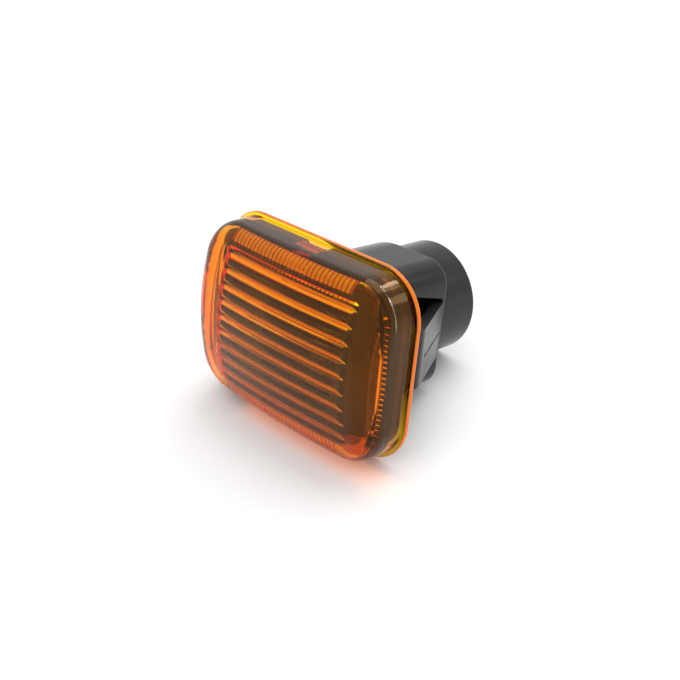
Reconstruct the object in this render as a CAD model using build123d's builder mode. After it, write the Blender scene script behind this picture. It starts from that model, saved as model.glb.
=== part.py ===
from build123d import *
from math import asin, cos, degrees, radians, sin, sqrt, tan
import os

os.makedirs("parts", exist_ok=True)

# Side repeater lamp. Millimetres, +Z up, lens facing -Y, +Y into the car.
# The origin is the centre of the seat, the plane where the lens rim meets the car's panel.

# Lens, over its rim
lens_width = 66.0
lens_height = 49.0
lens_corner = 12.0
lens_depth = 16.0
lens_wall = 2.2
lens_draft = 3.0
front_edge = 5.0
inner_edge = 1.8
radius_across = 265.0
radius_upright = 58.0
rim_proud = 0.9
rim_thick = 1.2
rim_edge = 0.4

# Flutes inside the lens front
flute_pitch = 4.0
flute_count = 10
flute_land = 0.3
flute_radius = 2.3
flute_length = 49.0
flute_zone = 34.8

# Weld between lens and tub, and the key that sets the lens the right way up
weld_depth = 6.95
weld_length = 3.15
ledge_thick = 1.5
skirt_thick = 0.8
skirt_length = 3.35
skirt_gap = 0.1
key_width = 8.0
key_length = 4.4
key_clearance = 0.1

# Tub of the housing, inside the lens rim
channel_width = 0.65
tub_wall = 1.6
tub_floor = 1.6
seat_relief = 0.5

# Body behind the tub: half round on the left, square on the right
body_radius = 17.2
body_corner = 6.4
body_draft = 1.0
body_end = 28.0
body_edge = 0.8
body_wall = 2.0
web_thick = 2.0

# Round shroud behind the body
shroud_radius = 15.0
shroud_wall = 1.8
shroud_length = 15.4
shroud_edge = 0.6

# Sprung leg on the right of the body
leg_thick = 2.6
leg_height = 15.5
leg_reach = 10.0
leg_crest = 8.0
leg_crest_radius = 1.5
leg_foot_gap = 2.4
leg_foot_reach = 4.2
leg_root = 5.0
groove_start = 0.8
groove_length = 16.0
groove_width = 0.5
groove_depth = 0.5
groove_drop = 0.65
pocket_depth = 4.0
pocket_gap = 0.75
pocket_flare = 15.0
pocket_end = 1.5

# Fixed hook on the left of the body
panel_gap = 3.0
hook_reach = 9.0
hook_thick = 2.0
hook_length = 8.0
hook_height = 13.0

# Twist-lock bulb holder
neck_radius = 8.2
neck_length = 5.2
neck_clearance = 0.3
lug_count = 3
lug_width = 5.0
lug_reach = 2.0
lug_thick = 2.0
lug_clearance = 0.2
twist_angle = 45.0
stop_gap = 1.0
flange_radius = 11.6
flange_thick = 2.0
flange_edge = 0.4
seal_thick = 1.5
seal_width = 2.8
seal_clearance = 0.1
plug_wall = 1.2
plug_length = 8.0
plug_corner = 1.2
wing_thick = 1.8
wing_length = 6.0

# Capless bulb
bulb_radius = 4.8
bulb_length = 20.0
glass_wall = 0.7
base_width = 9.2
base_thick = 2.6
base_length = 6.2
base_clearance = 0.2
shoulder_depth = 1.8
wire_radius = 0.25
wire_spread = 4.0
wire_fold = 4.0
filament_radius = 0.3
filament_ahead = 12.7

# Terminals
strip_thick = 0.6
strip_width = 5.0
blade_spread = 8.0
blade_length = 6.5
strip_touch = 2.6
strip_flare = 1.2
strip_clearance = 0.05


def facing_front(y):
    """Plane across the lamp at y, drawn as seen from the front: X right and Z up, growing towards -Y."""
    return Plane.XZ.offset(-y)


def facing_rear(y):
    """The same plane turned round, growing towards +Y."""
    return Plane(origin=(0, y, 0), x_dir=(1, 0, 0), z_dir=(0, 1, 0))


# The dome of the lens: a drafted box cut off by a barrel, which is curved twice, and rounded at the front.
# The barrel turns about an upright axis behind the lamp, and its upright arc has its own, closer centre.
barrel_axis_y = radius_across - lens_depth
barrel_axis = Axis((0, barrel_axis_y, 0), (0, 0, 1))
arc_centre = radius_across - radius_upright


def barrel_plane(half_angle):
    """Upright plane through the barrel's axis, turned to the barrel's left end; x runs out to the front."""
    outwards = Vector(0, -1, 0).rotate(Axis.Z, -half_angle)
    return Plane(origin=(0, barrel_axis_y, 0), x_dir=outwards, z_dir=outwards.cross(Vector(0, 0, 1)))


def dome(inset, edge):
    """Solid inside the lens's outer skin, shrunk by inset on every side but the open back."""
    skin = rim_proud + inset
    arc_radius = radius_upright - inset
    arc_end = lens_height / 2
    arc_end_out = arc_centre + sqrt(arc_radius**2 - arc_end**2)
    barrel_back = radius_across - lens_depth - lens_wall
    half_angle = degrees(asin(lens_width / 2 / arc_centre))
    with BuildPart() as form:
        with BuildSketch(facing_front(0)):
            RectangleRounded(lens_width - 2 * skin, lens_height - 2 * skin, lens_corner - skin)
        extrude(amount=lens_depth, taper=lens_draft)
        with BuildSketch(barrel_plane(half_angle)):
            with BuildLine():
                front = ThreePointArc(
                    (arc_end_out, -arc_end), (arc_centre + arc_radius, 0), (arc_end_out, arc_end)
                )
                Polyline(front @ 1, (barrel_back, arc_end), (barrel_back, -arc_end), front @ 0)
            make_face()
        revolve(axis=barrel_axis, revolution_arc=2 * half_angle, mode=Mode.INTERSECT)
        fillet(form.faces().sort_by(Axis.Y)[0].edges(), edge)
    return form.part


lens_outside = dome(0, front_edge)
lens_inside = dome(lens_wall, inner_edge)

# Tub outline, set in from the lens wall by the open channel round its rear
tub_inset = rim_proud + lens_wall + channel_width
tub_width = lens_width - 2 * tub_inset
tub_height = lens_height - 2 * tub_inset
tub_corner = lens_corner - tub_inset

# The tub's wall stands in a groove of the lens, between its outer wall and an inner skirt, and the ledge that
# joins those is the groove's floor. Ledge and key grow from the middle of the outer wall.
ledge_skin = rim_proud + lens_wall / 2 + weld_depth * tan(radians(lens_draft))
skirt_out = tub_inset + tub_wall + skirt_gap
skirt_in = skirt_out + skirt_thick
key_height = skirt_out - ledge_skin
notch_height = tub_inset + tub_wall + key_clearance
weld_skin = rim_proud + lens_wall + (weld_depth - weld_length) * tan(radians(lens_draft))

# Flutes lie along the inner skin of the lens front, evenly spaced round its upright arc, and stop short
# of the walls
flute_chord = flute_pitch - flute_land
flute_depth = flute_radius - sqrt(flute_radius**2 - (flute_chord / 2) ** 2)
flute_orbit = radius_upright - lens_wall + flute_depth - flute_radius
flute_step = flute_pitch / (radius_upright - lens_wall)
flute_half_angle = degrees(asin(lens_width / 2 / radius_across))

with BuildPart() as flutes:
    with BuildSketch(barrel_plane(flute_half_angle)):
        for index in range(flute_count):
            turn = (index - (flute_count - 1) / 2) * flute_step
            with Locations((arc_centre + flute_orbit * cos(turn), flute_orbit * sin(turn))):
                Circle(flute_radius)
    revolve(axis=barrel_axis, revolution_arc=2 * flute_half_angle)
    with BuildSketch(facing_front(0)):
        Rectangle(flute_length, flute_zone)
    extrude(amount=lens_depth, mode=Mode.INTERSECT)

with BuildSketch() as inside_skirt:
    RectangleRounded(lens_width - 2 * skirt_in, lens_height - 2 * skirt_in, lens_corner - skirt_in)
skirt_hole = inside_skirt.sketch

with BuildPart() as lens:
    with BuildSketch(facing_front(0)):
        RectangleRounded(lens_width, lens_height, lens_corner)
    extrude(amount=rim_thick)
    fillet(lens.edges().group_by(Axis.Y)[0] + lens.edges().group_by(Axis.Y)[-1], rim_edge)
    add(lens_outside)
    add(lens_inside, mode=Mode.SUBTRACT)
    with BuildSketch(facing_front(-weld_depth)):
        RectangleRounded(lens_width - 2 * ledge_skin, lens_height - 2 * ledge_skin, lens_corner - ledge_skin)
        add(skirt_hole, mode=Mode.SUBTRACT)
    extrude(amount=ledge_thick)
    with BuildSketch(facing_rear(-weld_depth)):
        RectangleRounded(lens_width - 2 * skirt_out, lens_height - 2 * skirt_out, lens_corner - skirt_out)
        add(skirt_hole, mode=Mode.SUBTRACT)
    extrude(amount=skirt_length)
    with BuildSketch(facing_rear(-weld_depth - ledge_thick)):
        with Locations((0, ledge_skin - lens_height / 2)):
            Rectangle(key_width, key_height, align=(Align.CENTER, Align.MIN))
    extrude(amount=ledge_thick + key_length)
    add(flutes.part, mode=Mode.SUBTRACT)
lens.part.label = "lens"
export_step(lens.part, "parts/lens.step")

# The draft opens the body out towards the seat
body_spread = (body_end + seat_relief) * tan(radians(body_draft))
pocket_floor = body_radius - pocket_depth
pocket_rear = body_end - pocket_end
pocket_half = leg_height / 2 + pocket_gap
pocket_half_front = pocket_half + (pocket_rear - panel_gap) * tan(radians(pocket_flare))
web_front = body_end - web_thick
lug_radius = neck_radius + lug_reach
lug_rear = web_front - lug_clearance
lug_half_angle = degrees(asin(lug_width / 2 / lug_radius))
lug_spacing = 360.0 / lug_count

# Outer face of the sprung leg, in plan
leg_top = Vector(body_radius, body_end - body_edge)
leg_out = Vector(body_radius + leg_reach, leg_crest)
leg_foot = Vector(body_radius + leg_foot_reach, leg_foot_gap)
leg_along = (leg_out - leg_top).normalized()
leg_outwards = leg_along.rotate(Axis.Z, 90)
groove_middle = leg_top + leg_along * (groove_start + groove_length / 2)

# One stop between two lugs ends the twist both ways
stop_start = twist_angle + lug_half_angle + stop_gap
stop_end = lug_spacing - lug_half_angle - stop_gap
stop_middle = (stop_start + stop_end) / 2
stop_width = 2 * neck_radius * sin(radians(stop_end - stop_start) / 2)


def body_outline(radius, side, corner):
    """Outline across the body: half round on the left, square with rounded corners on the right."""
    with BuildSketch() as outline:
        with BuildLine():
            ThreePointArc((0, radius), (-radius, 0), (0, -radius))
            FilletPolyline((0, -radius), (side, -radius), (side, radius), (0, radius), radius=corner)
        make_face()
    return outline.sketch


body_front = body_outline(body_radius + body_spread, body_radius + body_spread, body_corner + body_spread)
body_hollow = body_outline(body_radius - body_wall, pocket_floor - body_wall, body_corner - body_wall)

with BuildPart() as housing:
    with BuildSketch(facing_rear(-seat_relief)):
        add(body_front)
    extrude(amount=body_end + seat_relief, taper=body_draft)
    fillet(housing.faces().sort_by(Axis.Y)[-1].edges(), body_edge)
    with BuildSketch(facing_rear(body_end)):
        Circle(shroud_radius)
        Circle(shroud_radius - shroud_wall, mode=Mode.SUBTRACT)
    extrude(amount=shroud_length)
    fillet(housing.faces().sort_by(Axis.Y)[-1].edges(), shroud_edge)
    # Tub: floor and wall, with a band that fits the inside of the lens and a notch for the lens's key
    with BuildSketch(facing_front(-seat_relief)):
        RectangleRounded(tub_width, tub_height, tub_corner)
    extrude(amount=weld_depth - seat_relief)
    with BuildSketch(facing_front(weld_length - weld_depth)):
        RectangleRounded(lens_width - 2 * weld_skin, lens_height - 2 * weld_skin, lens_corner - weld_skin)
    extrude(amount=weld_length, taper=lens_draft)
    with BuildSketch(facing_front(-seat_relief - tub_floor)):
        RectangleRounded(tub_width - 2 * tub_wall, tub_height - 2 * tub_wall, tub_corner - tub_wall)
    extrude(amount=weld_depth, mode=Mode.SUBTRACT)
    with BuildSketch(facing_front(-weld_depth)):
        with Locations((0, lens_height / 2)):
            Rectangle(key_width + 2 * key_clearance, notch_height, align=(Align.CENTER, Align.MAX))
    extrude(amount=seat_relief - weld_depth, mode=Mode.SUBTRACT)
    # Pocket that the sprung leg moves into
    with BuildSketch(Plane.YZ.offset(pocket_floor)):
        with BuildLine():
            Polyline(
                (panel_gap, -pocket_half_front),
                (pocket_rear, -pocket_half),
                (pocket_rear, pocket_half),
                (panel_gap, pocket_half_front),
                close=True,
            )
        make_face()
    extrude(amount=pocket_depth + body_wall, mode=Mode.SUBTRACT)
    # Sprung leg: out from the rear of the body to a crest, then back in towards the panel
    with BuildSketch(Plane.XY.offset(-leg_height / 2)):
        with BuildLine():
            FilletPolyline(leg_top, leg_out, leg_foot, radius=leg_crest_radius + leg_thick)
            offset(amount=leg_thick, side=Side.RIGHT, kind=Kind.INTERSECTION)
        make_face()
        with Locations((pocket_floor - body_wall / 2, body_end - leg_root)):
            Rectangle(pocket_depth + body_wall / 2, leg_root - body_edge, align=(Align.MIN, Align.MIN))
    extrude(amount=leg_height)
    with BuildSketch(Plane(origin=groove_middle, x_dir=leg_along, z_dir=leg_outwards)):
        with Locations((0, groove_drop)):
            Rectangle(groove_length, groove_width)
    extrude(amount=-groove_depth, mode=Mode.SUBTRACT)
    # Hook: its front face holds the panel against the rim
    with BuildSketch(Plane.XY.offset(-hook_height / 2)):
        with BuildLine():
            Polyline(
                (-pocket_floor, panel_gap),
                (-body_radius - hook_reach, panel_gap),
                (-body_radius - hook_reach, panel_gap + hook_thick),
                (-pocket_floor, panel_gap + hook_length),
                close=True,
            )
        make_face()
    extrude(amount=hook_height)
    # Hollow for the bulb, open to the lens, and the keyed hole in the web at its rear
    with BuildSketch(facing_rear(-seat_relief - tub_floor)):
        add(body_hollow)
    extrude(amount=web_front + seat_relief + tub_floor, mode=Mode.SUBTRACT)
    with BuildSketch(facing_rear(web_front)):
        Circle(neck_radius + neck_clearance)
        with PolarLocations(lug_radius / 2, lug_count, start_angle=-90 + twist_angle):
            Rectangle(lug_radius + 2 * neck_clearance, lug_width + 2 * neck_clearance)
    extrude(amount=web_thick, mode=Mode.SUBTRACT)
    with BuildSketch(facing_rear(lug_rear - lug_thick)):
        with PolarLocations(neck_radius + neck_clearance + lug_reach / 2, 1, start_angle=-90 + stop_middle):
            Rectangle(lug_reach, stop_width)
    extrude(amount=lug_thick + lug_clearance)
housing.part.label = "housing"
export_step(housing.part, "parts/housing.step")

# Rear faces of the holder's pieces, from the web backwards
seal_front = body_end + seal_clearance
flange_front = seal_front + seal_thick
flange_rear = flange_front + flange_thick
neck_front = lug_rear - neck_length
shoulder = neck_front + shoulder_depth
base_end = shoulder + base_length
contact_floor = base_end + 3 * wire_radius + base_clearance
strip_out = blade_spread / 2 + strip_thick / 2
contact_width = 2 * (strip_out + strip_clearance)
contact_height = base_width + 2 * base_clearance
plug_width = blade_spread + 2 * strip_thick + 2 * plug_wall
plug_height = strip_width + 2 * strip_thick + 2 * plug_wall

with BuildPart() as bulb_holder:
    with BuildSketch(facing_rear(neck_front)):
        Circle(neck_radius)
    extrude(amount=flange_front - neck_front)
    with BuildSketch(facing_rear(flange_front)):
        Circle(flange_radius)
    extrude(amount=flange_thick)
    fillet(bulb_holder.faces().sort_by(Axis.Y)[-1].edges(), flange_edge)
    with BuildSketch(facing_rear(lug_rear - lug_thick)):
        with PolarLocations(lug_radius / 2, lug_count, start_angle=-90):
            Rectangle(lug_radius, lug_width)
    extrude(amount=lug_thick)
    with BuildSketch(facing_rear(flange_rear)):
        RectangleRounded(plug_width, plug_height, plug_corner)
    extrude(amount=plug_length)
    with BuildSketch(facing_rear(flange_rear)):
        Rectangle(2 * (flange_radius - flange_edge), wing_thick)
    extrude(amount=wing_length)
    with BuildSketch(facing_rear(flange_rear)):
        RectangleRounded(plug_width - 2 * plug_wall, plug_height - 2 * plug_wall, plug_corner / 2)
    extrude(amount=plug_length, mode=Mode.SUBTRACT)
    with BuildSketch(facing_rear(neck_front)):
        Rectangle(contact_width, contact_height)
    extrude(amount=contact_floor - neck_front, mode=Mode.SUBTRACT)
    with BuildSketch(facing_rear(neck_front)):
        Circle(bulb_radius + base_clearance)
    extrude(amount=shoulder_depth, mode=Mode.SUBTRACT)
    with BuildSketch(facing_rear(contact_floor)):
        with GridLocations(blade_spread, 0, 2, 1):
            Rectangle(strip_thick + 2 * strip_clearance, strip_width + 2 * strip_clearance)
    extrude(amount=flange_rear - contact_floor, mode=Mode.SUBTRACT)
bulb_holder.part.label = "bulb_holder"
export_step(bulb_holder.part, "parts/bulb_holder.step")

with BuildPart() as holder_seal:
    with BuildSketch(facing_rear(seal_front)):
        Circle(neck_radius + seal_width)
        Circle(neck_radius, mode=Mode.SUBTRACT)
    extrude(amount=seal_thick)
holder_seal.part.label = "holder_seal"
export_step(holder_seal.part, "parts/holder_seal.step")

# Each terminal runs from a blade in the plug socket, through the holder, to a tongue sprung onto a lead wire
tongue_in = base_thick / 2 + 2 * wire_radius
tongue_y = base_end - strip_touch
strip_front = shoulder + base_clearance
for side, place in ((1, "right"), (-1, "left")):
    with BuildPart() as terminal:
        with BuildSketch(Plane.XY.offset(-strip_width / 2)):
            with BuildLine():
                Polyline(
                    (side * (blade_spread - strip_thick) / 2, flange_rear + blade_length),
                    (side * (blade_spread - strip_thick) / 2, contact_floor),
                    (side * tongue_in, tongue_y),
                    (side * (tongue_in + strip_flare), strip_front),
                    (side * (tongue_in + strip_flare + strip_thick), strip_front),
                    (side * (tongue_in + strip_thick), tongue_y),
                    (side * strip_out, contact_floor),
                    (side * strip_out, flange_rear + blade_length),
                    close=True,
                )
            make_face()
        extrude(amount=strip_width)
    terminal.part.label = f"terminal_{place}"
    export_step(terminal.part, f"parts/terminal_{place}.step")

# Bulb, drawn in the XY plane and turned about Y
bulb_tip = shoulder - bulb_length
filament_y = shoulder - filament_ahead
with BuildPart() as bulb_glass:
    with BuildSketch(Plane.XY):
        with BuildLine():
            RadiusArc((0, bulb_tip), (bulb_radius, bulb_tip + bulb_radius), -bulb_radius)
            Polyline(
                (bulb_radius, bulb_tip + bulb_radius), (bulb_radius, shoulder), (0, shoulder), (0, bulb_tip)
            )
        make_face()
    revolve(axis=Axis.Y)
    with BuildSketch(facing_rear(shoulder)):
        Rectangle(base_thick, base_width)
    extrude(amount=base_length)
    with BuildSketch(Plane.XY):
        with BuildLine():
            inner_radius = bulb_radius - glass_wall
            inner_tip = bulb_tip + glass_wall
            inner_end = shoulder - glass_wall
            RadiusArc((0, inner_tip), (inner_radius, inner_tip + inner_radius), -inner_radius)
            Polyline(
                (inner_radius, inner_tip + inner_radius),
                (inner_radius, inner_end),
                (0, inner_end),
                (0, inner_tip),
            )
        make_face()
    revolve(axis=Axis.Y, mode=Mode.SUBTRACT)
    with BuildSketch(facing_rear(shoulder - glass_wall)):
        with GridLocations(0, wire_spread, 1, 2):
            Circle(wire_radius)
    extrude(amount=base_length + glass_wall, mode=Mode.SUBTRACT)
bulb_glass.part.label = "bulb_glass"
export_step(bulb_glass.part, "parts/bulb_glass.step")

for side, place in ((1, "upper"), (-1, "lower")):
    height = side * wire_spread / 2
    turn_y = base_end + 2 * wire_radius
    face_x = side * (base_thick / 2 + wire_radius)
    with BuildPart() as lead_wire:
        with BuildLine():
            route = FilletPolyline(
                (0, filament_y - filament_radius, height),
                (0, turn_y, height),
                (face_x, turn_y, height),
                (face_x, turn_y - wire_fold, height),
                radius=2 * wire_radius,
            )
        with BuildSketch(Plane(origin=route @ 0, z_dir=route % 0)):
            Circle(wire_radius)
        sweep()
    lead_wire.part.label = f"lead_wire_{place}"
    export_step(lead_wire.part, f"parts/lead_wire_{place}.step")

filament_length = wire_spread - 2 * wire_radius
with BuildPart() as filament:
    with BuildSketch(Plane(origin=(0, filament_y, -filament_length / 2), z_dir=(0, 0, 1))):
        Circle(filament_radius)
    extrude(amount=filament_length)
filament.part.label = "filament"
export_step(filament.part, "parts/filament.step")
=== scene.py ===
import math
import bmesh
import bpy
from mathutils import Matrix, Vector


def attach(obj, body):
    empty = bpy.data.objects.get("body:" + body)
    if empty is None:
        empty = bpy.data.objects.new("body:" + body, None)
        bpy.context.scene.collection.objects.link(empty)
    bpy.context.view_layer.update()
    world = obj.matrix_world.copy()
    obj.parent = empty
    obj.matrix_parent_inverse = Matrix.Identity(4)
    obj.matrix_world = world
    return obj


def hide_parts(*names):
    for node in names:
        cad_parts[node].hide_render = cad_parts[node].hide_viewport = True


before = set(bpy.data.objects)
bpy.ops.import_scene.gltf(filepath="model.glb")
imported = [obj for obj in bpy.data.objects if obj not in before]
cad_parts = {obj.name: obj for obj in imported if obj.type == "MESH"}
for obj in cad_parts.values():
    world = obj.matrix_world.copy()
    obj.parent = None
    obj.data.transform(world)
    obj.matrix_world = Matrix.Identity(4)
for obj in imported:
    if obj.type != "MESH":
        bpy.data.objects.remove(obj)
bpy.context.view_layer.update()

# Housing
# One black ABS moulding: the tub that the lens is welded to, the body with its sprung leg and hook, and the
# round shroud at the rear. It comes from a fine spark-eroded mould, so it is satin rather than glossy.
mould_grain = 0.0005  # about 0.1 mm on the real part, and coarser here so that it shows in the render
mould_depth = 0.00005
handling_marks = 0.012


def linear(code):
    """Linear colour of an sRGB hex value such as 1c1c1e."""
    channels = [int(code[i:i + 2], 16) / 255 for i in (0, 2, 4)]
    return [c / 12.92 if c <= 0.04045 else ((c + 0.055) / 1.055) ** 2.4 for c in channels] + [1.0]


def add(tree, kind, inputs=None, **settings):
    """Add a node with its settings, its values and its links."""
    made = tree.nodes.new(kind)
    for name, value in settings.items():
        setattr(made, name, value)
    for name, value in (inputs or {}).items():
        if isinstance(value, bpy.types.NodeSocket):
            tree.links.new(value, made.inputs[name])
        else:
            made.inputs[name].default_value = value
    return made


def new_material(name):
    """New material with an empty node tree."""
    material = bpy.data.materials.new(name)
    material.use_nodes = True
    material.node_tree.nodes.clear()
    return material, material.node_tree


def moulded_dark(name, dark, pale, rough_low, rough_high, bump):
    """Satin moulded plastic: a fine mould grain, and broad, faint handling marks in colour and gloss."""
    material, tree = new_material(name)
    place = add(tree, "ShaderNodeTexCoord").outputs["Object"]
    grain = add(tree, "ShaderNodeTexNoise", {"Vector": place, "Scale": 1 / mould_grain, "Detail": 2.0})
    marks = add(tree, "ShaderNodeTexNoise", {"Vector": place, "Scale": 1 / handling_marks, "Detail": 4.0})
    colour = add(tree, "ShaderNodeMix", {
        "Factor": marks.outputs["Fac"], "A": linear(dark), "B": linear(pale)}, data_type="RGBA")
    rough = add(tree, "ShaderNodeMapRange", {
        "Value": marks.outputs["Fac"], "From Min": 0.3, "From Max": 0.7,
        "To Min": rough_low, "To Max": rough_high})
    relief = add(tree, "ShaderNodeBump", {
        "Height": grain.outputs["Fac"], "Strength": bump, "Distance": mould_depth})
    shader = add(tree, "ShaderNodeBsdfPrincipled", {
        "Base Color": colour.outputs["Result"], "Roughness": rough.outputs["Result"],
        "Normal": relief.outputs["Normal"], "IOR": 1.53, "Specular IOR Level": 0.25})
    add(tree, "ShaderNodeOutputMaterial", {"Surface": shader.outputs["BSDF"]})
    return material


def dress(node, material):
    """Give a CAD node its finish."""
    for slot in bpy.data.objects[node].material_slots:
        slot.material = material


# Moulded ABS: almost black, with a soft shine that broad faint marks from handling break up
dress("housing", moulded_dark("satin_black_abs", "151517", "202022", 0.2, 0.28, 0.1))

# Lens
# One clear amber acrylic moulding, polished outside. Inside it has flutes along the front, ribs along the top
# and the foot, bevels that thicken both ends, and a key for the tub's notch. The tub's wall is welded into
# the groove between the lens's own wall and an inner skirt.
lens_half_width = 0.033
lens_half_height = 0.0245
lens_corner = 0.012
lens_depth = 0.01599  # 0.01 mm less than the solid's, so that no facet stands out past it
lens_wall = 0.0022
lens_draft = math.radians(3)
radius_across = 0.265
radius_upright = 0.058
front_edge = 0.005
end_edge = 0.0018  # by which the two ends are rounder
inner_edge = 0.0018
rim_proud = 0.0009
rim_thick = 0.0012
rim_edge = 0.0004
rim_half_turn = rim_edge * 0.293  # how far in the middle of the rim's round edge is
flute_pitch = 0.004
flute_radius = 0.00193
flute_chord = 0.0037
flute_half_length = 0.0212
flute_half_height = 0.0174
flute_shift = 0.0016
flute_taper = 0.0014
flute_fan = 0.6  # 0 for flutes pressed straight in, 1 for flutes square to the curved front
bevel_ends = 0.0225
bevel_foot = 0.0176
bevel_radius = 0.0072
rib_pitch = flute_pitch / 3
rib_height = 0.00035
rib_start, rib_rise = 0.0055, 0.005  # insets of the ribs' ends on the front
ledge_front = -0.00845
groove_floor = -0.00695
weld_rear = -0.0038
weld_bite = 0.00003  # overlap with the tub where the two are in contact
contact_run, contact_cycle = 3, 4  # stations in contact, out of how many, down the right side
skirt_in = 0.00625
skirt_out = 0.00545
skirt_rear = -0.0036
key_half_width = 0.004
key_rear = -0.00255
key_edge = 0.0002
wall_heights = (-0.004, -0.007)
outer_panel = 0.0088  # insets at which the rings round the edge give way to the rows of the front
inner_panel = 0.0066
panel_edge = 0.0058
columns_across = 126  # fineness of the mesh
rows_in_flute = 12
rows_up = 54
corner_steps = 5
edge_steps = 8
front_edge_steps = 12
settle_rounds = 6
hair = 0.0001  # a small step, or a small clearance
straight = 0.9999  # share of the way in that is upright, where the rim runs straight
mostly = 0.5  # share of the way in that counts a station to the top or to a side
foot_reach = 0.3  # the same share, where the painted glow of the foot ends in the corners
front_tint = 0.06  # level of painted glow, which over the flutes means only a tint
# Painted glow on the foot and the rim: a mostly opaque deep orange surface stands in for light that runs
# inside the wall
foot_glow = 0.46
rim_glow = 0.5
corner_x = lens_half_width - lens_corner
corner_z = lens_half_height - lens_corner
inner_radius = radius_upright - lens_wall


def front_depth(x, z, wall):
    """y of the doubly curved front, or of its inside at a distance of wall."""
    reach = radius_across - radius_upright + math.sqrt((radius_upright - wall) ** 2 - z * z)
    return radius_across - lens_depth - math.sqrt(reach * reach - x * x)


def bevel(x, z):
    """Rise of the inside of the front towards its two ends and its foot, where the lens is thicker."""
    past = [min(max(edge, 0.0), bevel_radius) for edge in (abs(x) - bevel_ends, -z - bevel_foot)]
    return sum(bevel_radius - math.sqrt(bevel_radius ** 2 - p ** 2) for p in past)


def skin(y, wall):
    """Inset of the drafted side wall from the rim, or of its inside."""
    return rim_proud + wall - y * math.tan(lens_draft)


def ease(value, length):
    """Smooth rise from 0 to 1 over a length."""
    share = min(max(value / length, 0.0), 1.0)
    return share * share * (3 - 2 * share)


# Stations round the rim, from the foot of the right side anticlockwise: a point of the rim, and the way in.
# Up the sides they stand level with rows of the flutes, so that every flute's edge is a row of the mesh.
row_angles = [k * flute_pitch / rows_in_flute / inner_radius for k in range(1, rows_up + 1)]
row_heights = [inner_radius * math.sin(angle) for angle in row_angles]
upright = [z for z in row_heights if z < corner_z]
turns = [math.asin((z - corner_z) / (lens_corner - inner_panel)) for z in row_heights if z > corner_z]
turns += [turns[-1] + (math.pi / 2 - turns[-1]) * i / corner_steps for i in range(1, corner_steps + 1)]
side = [(-corner_z, -t) for t in reversed(turns)] + [(-z, 0.0) for z in reversed(upright)] + [(0.0, 0.0)]
side += [(z, 0.0) for z in upright] + [(corner_z, t) for t in turns]
columns = [corner_x * (2 * i / columns_across - 1) for i in range(1, columns_across)]
stations = []
for z, turn in side:
    way = Vector((-math.cos(turn), 0, -math.sin(turn)))
    stations.append((Vector((corner_x, 0, z)) - way * lens_corner, way))
stations += [(Vector((x, 0, lens_half_height)), Vector((0, 0, -1))) for x in reversed(columns)]
for z, turn in reversed(side):
    way = Vector((math.cos(turn), 0, -math.sin(turn)))
    stations.append((Vector((-corner_x, 0, z)) - way * lens_corner, way))
stations += [(Vector((x, 0, -lens_half_height)), Vector((0, 0, 1))) for x in columns]


def edge_round(rim, way, wall, radius, steps):
    """Points (inset, y) and normals (across, back) round the edge between a side wall and the front."""
    height = radius - lens_depth
    for _ in range(settle_rounds):
        inset = skin(height, wall) + radius / math.cos(lens_draft)
        here = rim + way * inset
        beyond = rim + way * (inset + hair)
        tilt = (front_depth(beyond.x, beyond.z, wall) - front_depth(here.x, here.z, wall)) / hair
        height = front_depth(here.x, here.z, wall) + radius * math.sqrt(1 + tilt * tilt)
    first = math.pi + lens_draft
    last = 1.5 * math.pi + math.atan(tilt)
    turned = [first + (last - first) * i / steps for i in range(steps + 1)]
    return [(inset + radius * math.cos(a), height + radius * math.sin(a), -math.cos(a), -math.sin(a))
            for a in turned]


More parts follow.
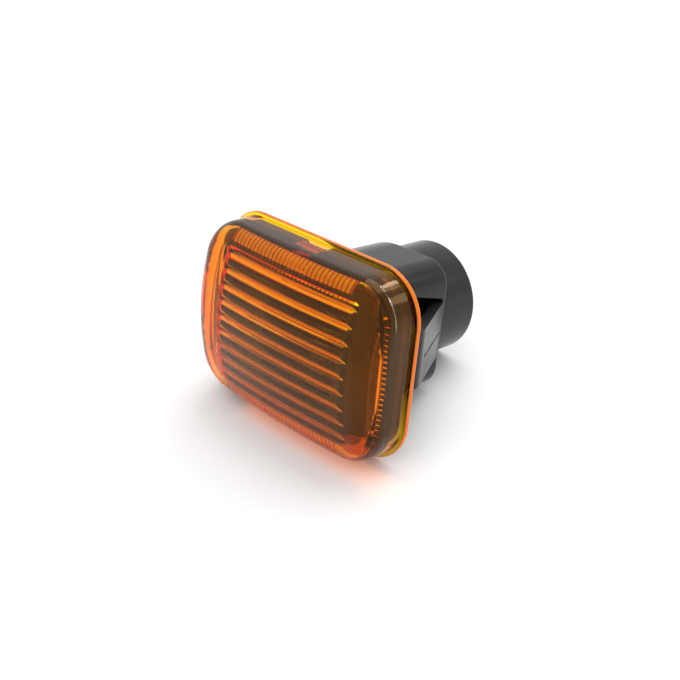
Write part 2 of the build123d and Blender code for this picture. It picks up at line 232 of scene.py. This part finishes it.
# Each station's section, from the fluted front out over the inner wall, the ledge, the rim and the outer wall
# to the front: inset, y (None on the front), the way a rib would rise, and how much painted glow and tint it
# has
sections = []
for station, (rim, way) in enumerate(stations):
    inner = edge_round(rim, way, lens_wall, inner_edge, edge_steps)
    outer = edge_round(rim, way, 0.0, front_edge + end_edge * way.x ** 2, front_edge_steps)
    across, back = inner[-1][2:]
    step = max(ledge_front, inner[0][1] + hair / 2)
    floor, band, bite = groove_floor, weld_rear, weld_bite
    if way.z < -straight and abs(rim.x) < key_half_width - key_edge:
        floor, band, bite = key_rear, key_rear + key_edge, 0.0
    # The groove's floor touches the tub along the top, and by turns down the right side
    touching = way.z < -mostly or (way.x < -mostly and station % contact_cycle < contact_run)
    floor += bite if touching else -bite
    # Painted glow on the top's ribs and on the foot, set where light runs inside the wall, and a tint over
    # the flutes
    ribbed = foot = tint = 0.0
    if way.z < -straight and abs(math.remainder(rim.x, rib_pitch)) > hair:
        ribbed = ease(corner_x - abs(rim.x), rib_pitch)
    elif way.z > foot_reach:
        foot = foot_glow
    # At its top and its foot, too, the front is tinted as far along as the flutes go
    if abs(rim.x - flute_shift) < flute_half_length:
        tint = front_tint
    section = [(inner_panel, None, 0, 0, 0), (panel_edge, None, 0, 0, 0)]
    section += [(inset, None, across, back, ribbed) for inset in (rib_start, rib_rise)]
    front_rings = len(section)
    section += [(*point, ribbed) for point in reversed(inner)]
    ledge_ring = len(section)
    section += [(inset, y, 0, 0, glow_and_tint_share) for inset, y, glow_and_tint_share in (
        (skin(step, lens_wall), step, foot),
        (skirt_in, step, foot),
        (skirt_in, skirt_rear, foot),
        (skirt_out, skirt_rear, 0),
        (skirt_out, floor, 0),
        (skin(floor, lens_wall) + bite, floor, 0),
        (skin(band, lens_wall) + bite, band, 0),
        (skin(band + hair, lens_wall), band + hair, 0),
        (skin(0, lens_wall), 0.0, 0),
        (rim_edge, 0.0, 0),
        (rim_half_turn, -rim_half_turn, rim_glow),
        (0.0, -rim_edge, rim_glow),
        (0.0, rim_edge - rim_thick, rim_glow),
        (rim_half_turn, rim_half_turn - rim_thick, rim_glow),
        (rim_edge, -rim_thick, 0),
        (skin(-rim_thick, 0), -rim_thick, 0),
        *((skin(y, 0), y, 0) for y in wall_heights))]
    section += [(inset, y, 0, 0, 0) for inset, y, *_ in outer]
    section += [(inset, None, 0, 0, tint) for inset in ((outer[-1][0] + outer_panel) / 2, outer_panel)]
    sections.append(section)

build = bmesh.new()
flute_arc = build.verts.layers.float.new("flute_arc")
flute_way = build.verts.layers.float_vector.new("flute_way")
rib_run = build.verts.layers.float.new("rib_run")
rib_way = build.verts.layers.float_vector.new("rib_way")
# Layer for the painted glow of the rim, ribs and foot, and for the tint over the flutes
glow_and_tint = build.verts.layers.float.new("glow_and_tint")
rings = []
for ring in range(len(sections[0])):
    wall = lens_wall if ring < front_rings else 0.0
    verts = []
    for (rim, way), section in zip(stations, sections):
        inset, y, across, back, glow_and_tint_share = section[ring]
        spot = rim + way * inset
        spot.y = front_depth(spot.x, spot.z, wall) if y is None else y
        if ring < ledge_ring:
            spot.y = max(spot.y, min(spot.y + bevel(spot.x, spot.z), section[ledge_ring][1] - hair))
        vert = build.verts.new(spot)
        vert[glow_and_tint] = glow_and_tint_share
        if abs(way.z) > straight:
            vert[rib_run] = rim.x
            vert[rib_way] = (way * across + Vector((0, back, 0))) * ease(corner_x - abs(rim.x), rib_pitch)
        verts.append(vert)
    rings.append(verts)
for low, high in zip(rings, rings[1:]):
    for s in range(len(stations)):
        after = (s + 1) % len(stations)
        build.faces.new((low[s], high[s], high[after], low[after]))

# The front: level rows between the sides' stations, with the flutes on the inner face
row_count = len(side)
foot_left = 2 * row_count + columns_across - 2
for edge, wall in ((rings[0], lens_wall), (rings[-1], 0.0)):
    rows = []
    for j in range(row_count):
        left, right = edge[foot_left - j], edge[j]
        if j == 0:
            rows.append([left] + [edge[foot_left + i] for i in range(1, columns_across)] + [right])
            continue
        if j == row_count - 1:
            top_left = row_count + columns_across - 1
            rows.append([left] + [edge[top_left - i] for i in range(1, columns_across)] + [right])
            continue
        row = [left]
        z = right.co.z
        bend = math.asin(z / inner_radius)
        for i in range(1, columns_across):
            x = left.co.x + (right.co.x - left.co.x) * i / columns_across
            rise = bevel(x, z) if wall else 0.0
            vert = build.verts.new((x, front_depth(x, z, wall) + rise, z))
            from_middle = abs(x - flute_shift)
            if not wall and from_middle < flute_half_length:
                vert[glow_and_tint] = front_tint
            if wall and abs(z) < flute_half_height:
                sink = min(max((flute_half_length + flute_taper - from_middle) / flute_taper, 0.0), 1.0)
                lean = bend * flute_fan
                vert[flute_arc] = bend * inner_radius
                vert[flute_way] = Vector((0, -math.cos(lean), math.sin(lean))) * sink
            row.append(vert)
        rows.append(row + [right])
    for below, above in zip(rows, rows[1:]):
        for i in range(columns_across):
            build.faces.new((below[i], below[i + 1], above[i + 1], above[i]))
bmesh.ops.recalc_face_normals(build, faces=build.faces[:])
lens_mesh = bpy.data.meshes.new("lens_moulding")
build.to_mesh(lens_mesh)
build.free()
lens_mesh.polygons.foreach_set("use_smooth", [True] * len(lens_mesh.polygons))
lens = bpy.data.objects.new("lens_moulding", lens_mesh)
bpy.context.scene.collection.objects.link(lens)

# Amber acrylic takes out blue within a millimetre and green over a centimetre, so thin walls look yellow and
# long paths orange. Polish marks vary its gloss very slightly. Its rim, ribs and foot carry a painted glow:
# they are made mostly opaque, deep orange at rim and foot and pale cream on the ribs, in place of the light
# that runs inside the wall. Over the flutes it is tinted, as a thicker front would be.
polish_marks = 0.004
amber, tree = new_material("amber_acrylic_polished")
place = add(tree, "ShaderNodeTexCoord").outputs["Object"]
polish = add(tree, "ShaderNodeTexNoise", {"Vector": place, "Scale": 1 / polish_marks, "Detail": 5.0})
gloss = add(tree, "ShaderNodeMapRange", {
    "Value": polish.outputs["Fac"], "From Min": 0.3, "From Max": 0.7, "To Min": 0.01, "To Max": 0.035})
# Painted glow: a high level makes the surface mostly opaque, deep orange at rim and foot and pale cream on
# the ribs
glow_and_tint_level = add(tree, "ShaderNodeAttribute", attribute_name="glow_and_tint").outputs["Fac"]
clearness = add(tree, "ShaderNodeMapRange", {
    "Value": glow_and_tint_level, "From Min": front_tint, "From Max": rim_glow, "To Min": 1.0, "To Max": 0.06})
ramp = add(tree, "ShaderNodeValToRGB", {"Fac": glow_and_tint_level})
stops = ramp.color_ramp.elements
for position, code in ((0.0, "fff0d2"), (front_tint, "ffc68c"), (rim_glow, "ff7a14"), (0.85, "fff0c8")):
    stop = stops.new(position) if position else stops[0]
    stop.color = linear(code)
stops.remove(stops[-1])
colour = add(tree, "ShaderNodeMix", {
    "Factor": 0.08, "A": ramp.outputs["Color"], "B": polish.outputs["Color"]},
    data_type="RGBA", blend_type="MULTIPLY")
shader = add(tree, "ShaderNodeBsdfPrincipled", {
    "Base Color": colour.outputs["Result"], "Roughness": gloss.outputs["Result"],
    "IOR": 1.49, "Specular Tint": linear("ffc47c"), "Transmission Weight": clearness.outputs["Result"]})
dye = add(tree, "ShaderNodeVolumeAbsorption", {"Color": (0.9982, 0.9227, 0.0, 1.0), "Density": 2200.0})
add(tree, "ShaderNodeOutputMaterial", {"Surface": shader.outputs["BSDF"], "Volume": dye.outputs["Volume"]})

# Geometry Nodes press the flutes into the front and raise the ribs along its edges, each a part of a circle
ribbing = bpy.data.node_groups.new("lens_ribbing", "GeometryNodeTree")
ribbing.interface.new_socket("Geometry", in_out="INPUT", socket_type="NodeSocketGeometry")
ribbing_sizes = {}
for name, value in (
    ("Flute Pitch", flute_pitch), ("Flute Radius", flute_radius), ("Flute Chord", flute_chord),
    ("Rib Pitch", rib_pitch), ("Rib Height", rib_height),
):
    socket = ribbing.interface.new_socket(name, in_out="INPUT", socket_type="NodeSocketFloat")
    ribbing_sizes[socket.identifier] = value
ribbing.interface.new_socket("Geometry", in_out="OUTPUT", socket_type="NodeSocketGeometry")
size = add(ribbing, "NodeGroupInput").outputs
spots = {
    name: add(ribbing, "GeometryNodeInputNamedAttribute", {"Name": name}, data_type=kind).outputs["Attribute"]
    for name, kind in (("flute_arc", "FLOAT"), ("flute_way", "FLOAT_VECTOR"),
                       ("rib_run", "FLOAT"), ("rib_way", "FLOAT_VECTOR"))}
formula = {}
for name, operation, first, second in (
    ("half pitch", "MULTIPLY", size["Flute Pitch"], 0.5),
    ("from edge", "PINGPONG", spots["flute_arc"], "half pitch"),
    ("from middle", "SUBTRACT", "half pitch", "from edge"),
    ("half chord", "MULTIPLY", size["Flute Chord"], 0.5),
    ("radius squared", "MULTIPLY", size["Flute Radius"], size["Flute Radius"]),
    ("chord squared", "MULTIPLY", "half chord", "half chord"),
    ("middle squared", "MULTIPLY", "from middle", "from middle"),
    ("chord left", "SUBTRACT", "radius squared", "chord squared"),
    ("middle left", "SUBTRACT", "radius squared", "middle squared"),
    ("chord height", "SQRT", "chord left", 0.0),
    ("middle height", "SQRT", "middle left", 0.0),
    ("bow", "SUBTRACT", "middle height", "chord height"),
    ("flute depth", "MAXIMUM", "bow", 0.0),
    ("half rib", "MULTIPLY", size["Rib Pitch"], 0.5),
    ("rib edge", "PINGPONG", spots["rib_run"], "half rib"),
    ("rib share", "DIVIDE", "rib edge", "half rib"),
    ("rib fall", "SUBTRACT", 1.0, "rib share"),
    ("fall squared", "MULTIPLY", "rib fall", "rib fall"),
    ("rib left", "SUBTRACT", 1.0, "fall squared"),
    ("rib round", "SQRT", "rib left", 0.0),
    ("rib height", "MULTIPLY", "rib round", size["Rib Height"]),
):
    values = [formula[v] if isinstance(v, str) else v for v in (first, second)]
    formula[name] = add(ribbing, "ShaderNodeMath", dict(enumerate(values)), operation=operation).outputs[0]
pressed, raised = (
    add(ribbing, "ShaderNodeVectorMath", {0: spots[name], "Scale": formula[size_name]}, operation="SCALE")
    for name, size_name in (("flute_way", "flute depth"), ("rib_way", "rib height")))
shift = add(ribbing, "ShaderNodeVectorMath", {0: pressed.outputs[0], 1: raised.outputs[0]}, operation="ADD")
moved = add(ribbing, "GeometryNodeSetPosition", {"Geometry": size["Geometry"], "Offset": shift.outputs[0]})
real = add(ribbing, "GeometryNodeRealizeInstances", {"Geometry": moved.outputs["Geometry"]})
painted = add(ribbing, "GeometryNodeSetMaterial", {"Geometry": real.outputs["Geometry"], "Material": amber})
add(ribbing, "NodeGroupOutput", {"Geometry": painted.outputs["Geometry"]})
modifier = lens.modifiers.new("ribbing", "NODES")
modifier.node_group = ribbing
for identifier, value in ribbing_sizes.items():
    modifier[identifier] = value
lens_shaped = bpy.data.meshes.new_from_object(lens.evaluated_get(bpy.context.evaluated_depsgraph_get()))
lens.modifiers.remove(modifier)
lens.data = lens_shaped
lens_shaped.set_sharp_from_angle(angle=math.radians(40))
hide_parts("lens")
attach(lens, "lamp")

# Bulb
# A clear glass capless bulb: a blown tube pinched flat at its base, with two plated wires through the pinch
# that carry the tungsten filament and fold over the base.
draw_marks = 0.003
# Blown glass: clear, with a bright shine that faint draw marks soften in places
clear, tree = new_material("clear_glass")
place = add(tree, "ShaderNodeTexCoord").outputs["Object"]
draw = add(tree, "ShaderNodeTexNoise", {"Vector": place, "Scale": 1 / draw_marks, "Detail": 2.0})
gloss = add(tree, "ShaderNodeMapRange", {"Value": draw.outputs["Fac"], "To Min": 0.0, "To Max": 0.03})
shader = add(tree, "ShaderNodeBsdfPrincipled", {
    "Base Color": linear("f7faf9"), "Roughness": gloss.outputs["Result"],
    "IOR": 1.51, "Transmission Weight": 1.0})
add(tree, "ShaderNodeOutputMaterial", {"Surface": shader.outputs["BSDF"]})
dress("bulb_glass", clear)

streak_share = 0.08  # of a streak's width to its length


def drawn_metal(name, dark, pale, grain, rough_low, rough_high):
    """Bare metal with fine streaks from drawing or rolling, grain apart, along Y."""
    material, tree = new_material(name)
    place = add(tree, "ShaderNodeTexCoord").outputs["Object"]
    along = add(tree, "ShaderNodeMapping", {"Vector": place, "Scale": (1, streak_share, 1)})
    streaks = add(tree, "ShaderNodeTexNoise", {
        "Vector": along.outputs["Vector"], "Scale": 1 / grain, "Detail": 3.0})
    colour = add(tree, "ShaderNodeMix", {
        "Factor": streaks.outputs["Fac"], "A": linear(dark), "B": linear(pale)}, data_type="RGBA")
    rough = add(tree, "ShaderNodeMapRange", {
        "Value": streaks.outputs["Fac"], "To Min": rough_low, "To Max": rough_high})
    shader = add(tree, "ShaderNodeBsdfPrincipled", {
        "Base Color": colour.outputs["Result"], "Roughness": rough.outputs["Result"], "Metallic": 1.0})
    add(tree, "ShaderNodeOutputMaterial", {"Surface": shader.outputs["BSDF"]})
    return material


# Plated wire is pale and half bright, and drawn tungsten dark grey and duller. Real streaks are a few
# hundredths of a millimetre apart, and are drawn coarser so that they show.
plated = drawn_metal("plated_wire", "a09a90", "c9c4bb", 0.0003, 0.2, 0.4)
dress("lead_wire_upper", plated)
dress("lead_wire_lower", plated)
dress("filament", drawn_metal("drawn_tungsten", "4c4a48", "6b6967", 0.0002, 0.35, 0.55))

# Terminals
# Two strips stamped from rolled brass and pushed into the holder. Each has a sprung tongue that touches a
# lead wire, and a blade in the plug socket.

# Rolled brass: a warm yellow shine, streaked along the strip
brass = drawn_metal("rolled_brass", "a5803c", "d0ac62", 0.0004, 0.22, 0.38)
dress("terminal_left", brass)
dress("terminal_right", brass)

# Bulb holder and its seal
# A dark grey nylon moulding that twists into the web in the rear shroud, and locks there by its lugs.
# A rubber ring is pressed under its flange.

# Moulded nylon is greyer and duller than the housing, and rubber black with hardly any shine
dress("bulb_holder", moulded_dark("satin_grey_nylon", "232325", "303033", 0.42, 0.52, 0.2))
dress("holder_seal", moulded_dark("matt_rubber", "121212", "1d1d1d", 0.6, 0.75, 0.3))

# Stage
# A white table that the lamp rests on by its rim and its shroud, under soft light from above and behind.
# The table runs on into a white background.
shroud_radius = 0.015
lamp_rear = 0.0434
table_reach = 3.0
slope = math.atan2(lens_half_height - shroud_radius, lamp_rear)
table_up = Vector((0, -math.sin(slope), math.cos(slope)))
table_touch = Vector((0, 0, -lens_half_height))
sideways = Vector((1, 0, 0))
away = table_up.cross(sideways)
table_mesh = bpy.data.meshes.new("table")
table_corners = [
    table_touch + (sideways * x + away * y) * table_reach for x, y in ((-1, -1), (1, -1), (1, 1), (-1, 1))]
table_mesh.from_pydata(table_corners, [], [(0, 1, 2, 3)])
table = bpy.data.objects.new("table", table_mesh)
bpy.context.scene.collection.objects.link(table)
# Matt white board: soft shadows, and no shine of its own
white, tree = new_material("white_table")
paper = add(tree, "ShaderNodeBsdfDiffuse", {"Color": linear("fcfcfc")})
add(tree, "ShaderNodeOutputMaterial", {"Surface": paper.outputs["BSDF"]})
table_mesh.materials.append(white)

world = bpy.data.worlds.new("studio")
bpy.context.scene.world = world
world.use_nodes = True
tree = world.node_tree
tree.nodes.clear()
ray = add(tree, "ShaderNodeLightPath").outputs
seen = ray["Is Camera Ray"]
for kind in ("Is Transmission Ray", "Is Glossy Ray"):
    seen = add(tree, "ShaderNodeMath", {0: seen, 1: ray[kind]}, operation="MAXIMUM").outputs[0]
outward = add(tree, "ShaderNodeTexCoord").outputs["Generated"]
height = add(tree, "ShaderNodeVectorMath", {0: outward, 1: table_up}, operation="DOT_PRODUCT")
soft = add(tree, "ShaderNodeMapRange", {"Value": height.outputs["Value"], "To Min": 0.35, "To Max": 1.32})
level = add(tree, "ShaderNodeMix", {"Factor": seen, "A": soft.outputs["Result"], "B": 1.0})
sky = add(tree, "ShaderNodeBackground", {"Color": (1, 1, 1, 1), "Strength": level.outputs["Result"]})
add(tree, "ShaderNodeOutputWorld", {"Surface": sky.outputs["Background"]})


def area_light(name, where, width, depth, power):
    """Rectangular light that shines straight down."""
    source = bpy.data.lights.new(name, "AREA")
    source.shape = "RECTANGLE"
    source.size, source.size_y = width, depth
    source.energy = power
    light = bpy.data.objects.new(name, source)
    light.location = where
    bpy.context.scene.collection.objects.link(light)
    return light


for name, where, width, depth, power in (
    ("overhead", (-0.05, 0.26, 0.81), 0.6, 0.6, 2.5),
    ("rear_strip", (0.0, 0.504, 0.624), 0.12, 0.04, 0.12),
    ("rear_side", (0.4, 0.504, 0.48), 0.16, 0.16, 0.2),
):
    light = area_light(name, where, width, depth, power)
    light.rotation_euler = (-Vector(where)).to_track_quat("-Z", "Y").to_euler()

# Light that has come through the lens onto the table below it
cast = area_light("amber_cast", (0.015, -0.0068, -0.0239), 0.062, 0.007, 0.0006)
cast.data.color = linear("ff7e12")[:3]
cast.visible_camera = cast.visible_glossy = cast.visible_transmission = False

# Camera
# Where the photograph was taken from, found by matching the rim, the walls, the flutes and the rear circle.
# The angles count from the lamp's front and from its level plane.
azimuth, elevation, roll = math.radians(43.58), math.radians(24.61), math.radians(5.26)
aim = Vector((0.00847, 0.0, 0.00064))
distance = 0.24987
out = Vector((
    math.sin(azimuth) * math.cos(elevation), -math.cos(azimuth) * math.cos(elevation), math.sin(elevation)))
level_right = Vector((math.cos(azimuth), math.sin(azimuth), 0))
level_up = out.cross(level_right)
view_right = math.cos(roll) * level_right + math.sin(roll) * level_up
view_up = math.cos(roll) * level_up - math.sin(roll) * level_right
view = bpy.data.cameras.new("photograph")
view.sensor_width = 36.0
view.lens = 54.77
view.clip_start = 0.001
camera = bpy.data.objects.new("photograph", view)
facing = Matrix((view_right, view_up, out)).transposed().to_4x4()
camera.matrix_world = Matrix.Translation(aim + out * distance) @ facing
bpy.context.scene.collection.objects.link(camera)
bpy.context.scene.camera = camera
bpy.context.scene.view_settings.view_transform = "Standard"
